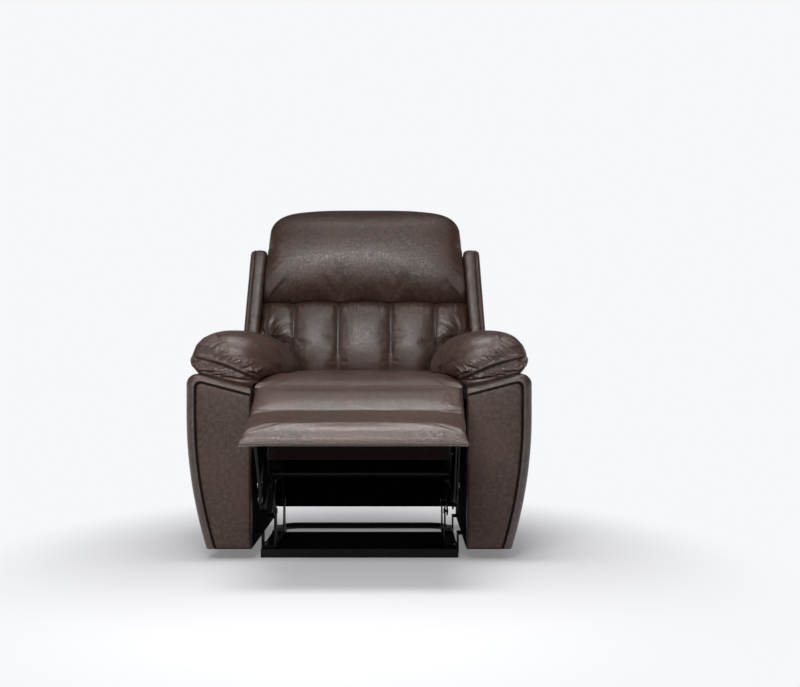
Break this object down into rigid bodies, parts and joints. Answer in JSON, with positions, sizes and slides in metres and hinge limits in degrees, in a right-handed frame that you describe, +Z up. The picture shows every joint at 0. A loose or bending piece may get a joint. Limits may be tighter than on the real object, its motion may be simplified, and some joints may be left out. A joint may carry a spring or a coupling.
{
  "type": "reclining armchair",
  "caption": "Upholstered reclining armchair with padded arms, a channelled back and an opening scissor footrest.",
  "frame": {"origin": "on the floor, under the middle of the chair's box with the footrest open", "axes": "+Z up, the front faces -Y, +X to the right as seen by someone facing the chair"},
  "size_m": [0.9635, 1.3233, 1.0398],
  "materials": {
    "leather": "satin",
    "leather_trim": "satin",
    "timber": "matte",
    "black_steel": "satin",
    "zinc_steel": "satin",
    "black_plastic": "matte",
    "glide_plastic": "matte",
    "webbing": "matte"
  },
  "bodies": {
    "base": {"base_rail_left": "black_steel", "base_rail_right": "black_steel", "base_front_bar": "black_steel", "base_rear_tube": "black_steel", "base_pan": "black_steel", "base_upright_left": "black_steel", "base_upright_right": "black_steel", "floor_glides": "glide_plastic", "base_bolts": "zinc_steel", "lift_rivets": "zinc_steel", "arm_shell_left": "leather", "arm_shell_right": "leather", "arm_face_left": "leather_trim", "arm_face_right": "leather_trim", "arm_welt_left": "leather", "arm_welt_right": "leather", "arm_pillow_left": "leather_trim", "arm_pillow_right": "leather_trim", "arm_frame_left": "timber", "arm_frame_right": "timber", "arm_brackets": "black_steel", "rear_panel": "leather", "release_bezel": "black_plastic"},
    "release_lever": {"release_lever": "black_plastic"},
    "front_lift_links": {"lift_links_front": "black_steel"},
    "rear_lift_links": {"lift_links_rear": "black_steel"},
    "seat": {"seat_plate_left": "black_steel", "seat_plate_right": "black_steel", "seat_rails": "timber", "seat_side_rails": "timber", "seat_cross_tube": "black_steel", "seat_springs": "zinc_steel", "seat_front_cover": "leather", "seat_rivets": "zinc_steel", "seat_cushion": "leather"},
    "back": {"back_uprights": "timber", "back_rails": "timber", "back_brackets": "black_steel", "back_webbing": "webbing", "back_panel": "leather", "back_wing_left": "leather_trim", "back_wing_right": "leather_trim", "lumbar_cushion": "leather", "headrest_cushion": "leather"},
    "links_a": {"footrest_drive_tube": "black_steel", "footrest_link_a": "black_steel"},
    "links_b": {"footrest_link_b": "black_steel", "footrest_rivets_b": "zinc_steel"},
    "links_c": {"footrest_link_c": "black_steel", "footrest_rivets_c": "zinc_steel"},
    "links_d": {"footrest_link_d": "black_steel", "footrest_rivets_d": "zinc_steel"},
    "footrest": {"footrest_brackets": "black_steel", "footrest_board": "timber", "footrest_pad": "leather", "calf_hinge_front": "zinc_steel"},
    "calf_flap": {"calf_hinge_rear": "zinc_steel", "calf_board": "timber", "calf_pad": "leather"}
  },
  "joints": [
    {"name": "release_pull", "type": "hinge", "parent": "base", "child": "release_lever", "pos_m": [-0.46933, -0.02562, 0.35353], "axis": [0, 1, 0], "range_deg": [0, 25], "stiffness_Nm_per_rad": 1.2, "springref_deg": -5.73},
    {"name": "back_recline", "type": "hinge", "parent": "seat", "child": "back", "pos_m": [0, 0.40437, 0.35], "axis": [-1, 0, 0], "range_deg": [0, 40]},
    {"name": "front_lift_swing", "type": "hinge", "parent": "base", "child": "front_lift_links", "pos_m": [0, -0.06541, 0.12003], "axis": [1, 0, 0], "range_deg": [0, 40]},
    {"name": "rear_lift_swing", "type": "hinge", "parent": "base", "child": "rear_lift_links", "pos_m": [0, 0.23459, 0.12003], "axis": [1, 0, 0], "range_deg": [0, 40]},
    {"name": "seat_level", "type": "hinge", "parent": "front_lift_links", "child": "seat", "pos_m": [0, -0.03463, 0.2046], "axis": [1, 0, 0], "range_deg": [-40, 0]},
    {"name": "footrest_close", "type": "hinge", "parent": "seat", "child": "links_a", "pos_m": [0, -0.07762, 0.229], "axis": [1, 0, 0], "range_deg": [0, 90.28]},
    {"name": "link_b_swing", "type": "hinge", "parent": "seat", "child": "links_b", "pos_m": [0, -0.13862, 0.29], "axis": [1, 0, 0], "range_deg": [0, 88]},
    {"name": "link_c_swing", "type": "hinge", "parent": "links_a", "child": "links_c", "pos_m": [0, -0.19812, 0.15], "axis": [1, 0, 0], "range_deg": [-85, 0]},
    {"name": "link_d_swing", "type": "hinge", "parent": "links_b", "child": "links_d", "pos_m": [0, -0.31162, 0.18001], "axis": [1, 0, 0], "range_deg": [-76.5, 0]},
    {"name": "footrest_tilt", "type": "hinge", "parent": "links_c", "child": "footrest", "pos_m": [0, -0.40663, 0.358], "axis": [1, 0, 0], "range_deg": [0, 78.5]},
    {"name": "calf_fold", "type": "hinge", "parent": "footrest", "child": "calf_flap", "pos_m": [0, -0.38197, 0.37332], "axis": [1, 0, 0], "range_deg": [-14.2, 0]}
  ],
  "couplings": [
    {"joint": "front_lift_swing", "follows": "back_recline", "ratio": 1},
    {"joint": "rear_lift_swing", "follows": "back_recline", "ratio": 1},
    {"joint": "seat_level", "follows": "back_recline", "ratio": -1},
    {"joint": "link_b_swing", "follows": "footrest_close", "ratio": 0.96805},
    {"joint": "link_c_swing", "follows": "footrest_close", "ratio": -0.93486},
    {"joint": "link_d_swing", "follows": "footrest_close", "ratio": -0.84036},
    {"joint": "footrest_tilt", "follows": "footrest_close", "ratio": 0.85979},
    {"joint": "calf_fold", "follows": "footrest_close", "ratio": -0.15508}
  ]
}
